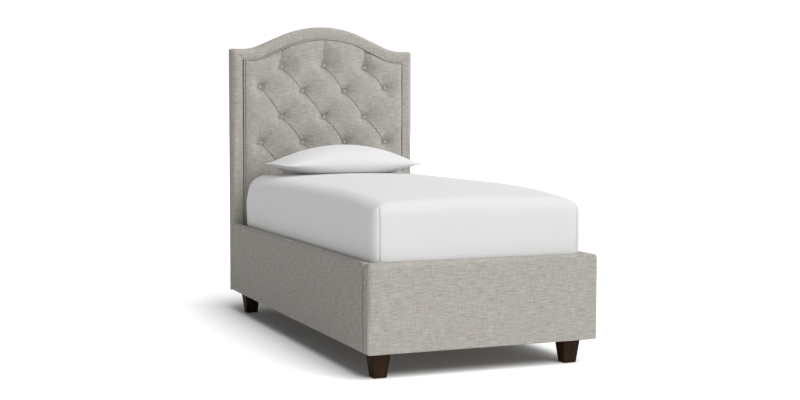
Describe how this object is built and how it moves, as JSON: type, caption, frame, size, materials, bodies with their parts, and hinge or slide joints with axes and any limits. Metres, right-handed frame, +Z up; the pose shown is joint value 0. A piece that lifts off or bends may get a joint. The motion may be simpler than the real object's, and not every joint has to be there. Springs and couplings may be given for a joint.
{
  "type": "upholstered panel bed",
  "caption": "Upholstered single bed with a camelback headboard, diamond-tufted centre, padded low footboard and rails, tapered wooden legs, slatted deck, mattress and pillow.",
  "frame": {"origin": "on the floor, at the centre of the bed's footprint, midway between the footboard's front and the headboard's back", "axes": "+X to the bed's left as a sleeper lies, towards the right of a viewer at the foot; +Y from the foot to the headboard; +Z up"},
  "size_m": [1.118, 2.233, 1.645],
  "materials": {
    "linen": "light grey-beige slub linen weave",
    "dark_wood": "dark espresso stained wood, satin",
    "softwood": "planed softwood",
    "plywood": "plywood",
    "back_cloth": "black dust cloth",
    "white_cotton": "plain white cotton",
    "ticking": "off-white quilted ticking",
    "steel": "zinc-plated steel",
    "black_plastic": "moulded nylon"
  },
  "bodies": {
    "root": {"headboard_border": "linen", "headboard_tufted_pad": "linen", "headboard_welt": "linen", "footboard_cover": "linen", "side_rail_left_cover": "linen", "side_rail_right_cover": "linen", "tuft_button_01": "linen", "tuft_button_02": "linen", "tuft_button_03": "linen", "tuft_button_04": "linen", "tuft_button_05": "linen", "tuft_button_06": "linen", "tuft_button_07": "linen", "tuft_button_08": "linen", "tuft_button_09": "linen", "tuft_button_10": "linen", "tuft_button_11": "linen", "tuft_button_12": "linen", "tuft_button_13": "linen", "tuft_button_14": "linen", "tuft_button_15": "linen", "tuft_button_16": "linen", "tuft_button_17": "linen", "leg_front_left": "dark_wood", "leg_front_right": "dark_wood", "leg_rear_left": "dark_wood", "leg_rear_right": "dark_wood", "footboard_core": "softwood", "side_rail_left_core": "softwood", "side_rail_right_core": "softwood", "head_crossbar": "softwood", "foot_crossbar": "softwood", "cleat_left": "softwood", "cleat_right": "softwood", "center_beam": "softwood", "center_leg_1": "softwood", "center_leg_2": "softwood", "corner_block_front_left": "softwood", "corner_block_front_right": "softwood", "corner_block_rear_left": "softwood", "corner_block_rear_right": "softwood", "slat_1": "softwood", "slat_2": "softwood", "slat_3": "softwood", "slat_4": "softwood", "slat_5": "softwood", "headboard_panel": "plywood", "headboard_back_cover": "back_cloth", "head_bracket_left": "steel", "head_bracket_right": "steel", "leg_glide_front_left": "black_plastic", "leg_glide_front_right": "black_plastic", "leg_glide_rear_left": "black_plastic", "leg_glide_rear_right": "black_plastic"},
    "box_spring_body": {"box_spring": "ticking"},
    "mattress_body": {"mattress": "ticking", "fitted_sheet": "white_cotton"},
    "pillow_body": {"pillow": "white_cotton"},
    "leveling_foot_1_body": {"leveling_foot_1": "steel"},
    "leveling_foot_2_body": {"leveling_foot_2": "steel"}
  },
  "joints": [
    {"name": "box_spring_lift", "type": "slide", "parent": "root", "child": "box_spring_body", "axis": [0, 0, 1], "range_m": [0, 0.3]},
    {"name": "mattress_lift", "type": "slide", "parent": "box_spring_body", "child": "mattress_body", "axis": [0, 0, 1], "range_m": [0, 0.3]},
    {"name": "pillow_lift", "type": "slide", "parent": "mattress_body", "child": "pillow_body", "axis": [0, 0, 1], "range_m": [0, 0.2]},
    {"name": "leveling_foot_1_slide", "type": "slide", "parent": "root", "child": "leveling_foot_1_body", "axis": [0, 0, -1], "range_m": [0, 0.015]},
    {"name": "leveling_foot_2_slide", "type": "slide", "parent": "root", "child": "leveling_foot_2_body", "axis": [0, 0, -1], "range_m": [0, 0.015]}
  ]
}
